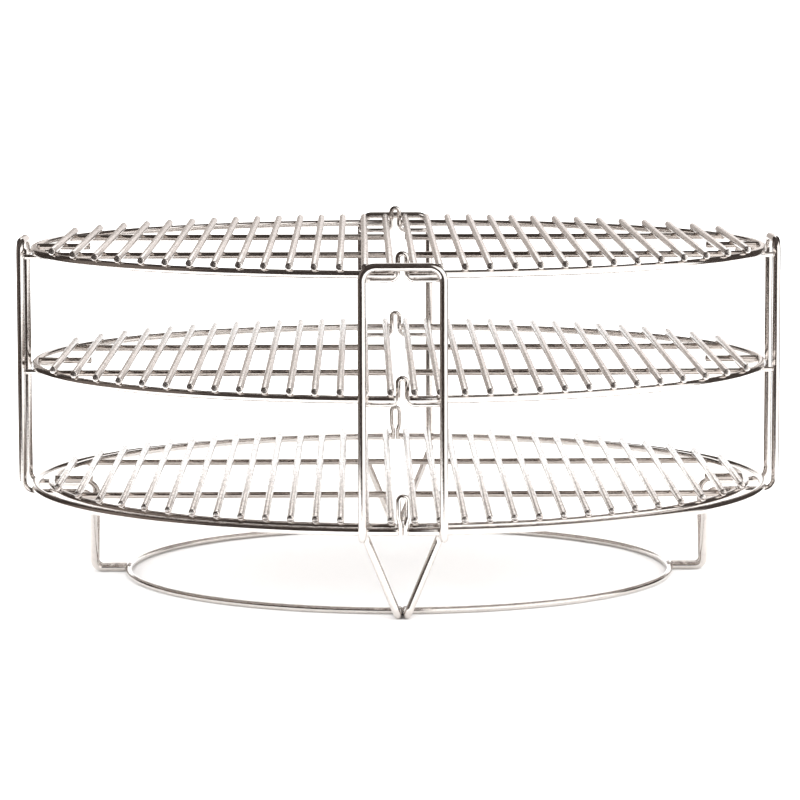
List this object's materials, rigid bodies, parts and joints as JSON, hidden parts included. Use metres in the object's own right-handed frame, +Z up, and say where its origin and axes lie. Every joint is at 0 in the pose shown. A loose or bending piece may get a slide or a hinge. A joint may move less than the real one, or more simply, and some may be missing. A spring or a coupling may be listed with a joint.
{
  "type": "cooling rack",
  "caption": "Round three-tier wire cooling rack: a welded cage of bent hoops on a base ring, holding pairs of lift-out half-moon grates.",
  "frame": {"origin": "centre of the footprint on the floor, under the middle of the rack", "axes": "+Z up; -Y is the front, where a locating loop stands in the gap between the half-moon grates; the grates part along the plane X = 0"},
  "size_m": [0.4718, 0.4718, 0.216],
  "materials": {
    "frame_steel": "bright polished stainless wire, faint drawing marks",
    "bar_steel": "electropolished stainless bars, fine grey mottling",
    "cross_steel": "polished stainless wire with small resistance welds"
  },
  "bodies": {
    "cage": {"back_hoop": "frame_steel", "base_ring": "frame_steel", "bottom_back_locator": "frame_steel", "bottom_front_locator": "frame_steel", "cage_ring_left": "frame_steel", "cage_ring_right": "frame_steel", "front_hoop": "frame_steel", "left_hoop": "frame_steel", "middle_back_rest": "frame_steel", "middle_front_rest": "frame_steel", "middle_left_rest": "frame_steel", "middle_right_rest": "frame_steel", "right_hoop": "frame_steel", "top_back_rest": "frame_steel", "top_front_rest": "frame_steel", "top_left_rest": "frame_steel", "top_right_rest": "frame_steel"},
    "top_left_grate": {"top_left_rim": "frame_steel", "top_left_bars": "bar_steel", "top_left_front_wire": "cross_steel", "top_left_back_wire": "cross_steel", "top_left_end_tie": "cross_steel"},
    "top_right_grate": {"top_right_rim": "frame_steel", "top_right_bars": "bar_steel", "top_right_front_wire": "cross_steel", "top_right_back_wire": "cross_steel", "top_right_end_tie": "cross_steel"},
    "middle_left_grate": {"middle_left_rim": "frame_steel", "middle_left_bars": "bar_steel", "middle_left_front_wire": "cross_steel", "middle_left_back_wire": "cross_steel", "middle_left_end_tie": "cross_steel"},
    "middle_right_grate": {"middle_right_rim": "frame_steel", "middle_right_bars": "bar_steel", "middle_right_front_wire": "cross_steel", "middle_right_back_wire": "cross_steel", "middle_right_end_tie": "cross_steel"},
    "bottom_left_grate": {"bottom_left_rim": "frame_steel", "bottom_left_bars": "bar_steel", "bottom_left_front_wire": "cross_steel", "bottom_left_back_wire": "cross_steel", "bottom_left_end_tie": "cross_steel"},
    "bottom_right_grate": {"bottom_right_rim": "frame_steel", "bottom_right_bars": "bar_steel", "bottom_right_front_wire": "cross_steel", "bottom_right_back_wire": "cross_steel", "bottom_right_end_tie": "cross_steel"}
  },
  "joints": [
    {"name": "top_left_lift", "type": "slide", "parent": "cage", "child": "top_left_grate", "axis": [0, 0, 1], "range_m": [0, 0.08]},
    {"name": "top_right_lift", "type": "slide", "parent": "cage", "child": "top_right_grate", "axis": [0, 0, 1], "range_m": [0, 0.08]},
    {"name": "middle_left_lift", "type": "slide", "parent": "cage", "child": "middle_left_grate", "axis": [0, 0, 1], "range_m": [0, 0.055]},
    {"name": "middle_right_lift", "type": "slide", "parent": "cage", "child": "middle_right_grate", "axis": [0, 0, 1], "range_m": [0, 0.055]},
    {"name": "bottom_left_lift", "type": "slide", "parent": "cage", "child": "bottom_left_grate", "axis": [0, 0, 1], "range_m": [0, 0.06]},
    {"name": "bottom_right_lift", "type": "slide", "parent": "cage", "child": "bottom_right_grate", "axis": [0, 0, 1], "range_m": [0, 0.06]}
  ]
}
